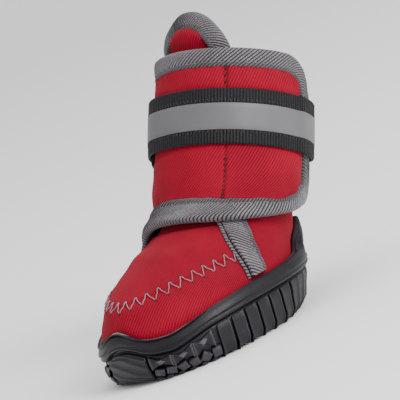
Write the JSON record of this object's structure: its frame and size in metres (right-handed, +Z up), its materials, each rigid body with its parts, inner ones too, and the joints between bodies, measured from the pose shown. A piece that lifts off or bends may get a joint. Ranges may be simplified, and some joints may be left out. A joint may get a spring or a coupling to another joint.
{
  "type": "dog bootie",
  "caption": "Left dog boot with a rubber cup sole, a soft leaning ankle shaft, a wrap-over closure flap and a webbing strap.",
  "frame": {"origin": "on the floor, at the middle of the sole's underside", "axes": "+Y towards the heel, so the toe points along -Y; +X towards the shoe's left, where the flap closes; +Z up"},
  "size_m": [0.0638, 0.1167, 0.1081],
  "materials": {
    "rubber": "satin moulded rubber",
    "foam": "matte covered foam",
    "neoprene": "matte knit-faced neoprene",
    "edge_tape": "ribbed twill tape",
    "webbing": "woven webbing with a smooth grey reflective band"
  },
  "bodies": {
    "root": {"outsole": "rubber", "insole": "foam", "upper": "neoprene", "tongue": "neoprene", "flap": "neoprene", "tongue_binding": "edge_tape", "collar_binding": "edge_tape", "flap_binding": "edge_tape", "quarter_binding": "edge_tape", "strap": "webbing"}
  },
  "joints": []
}
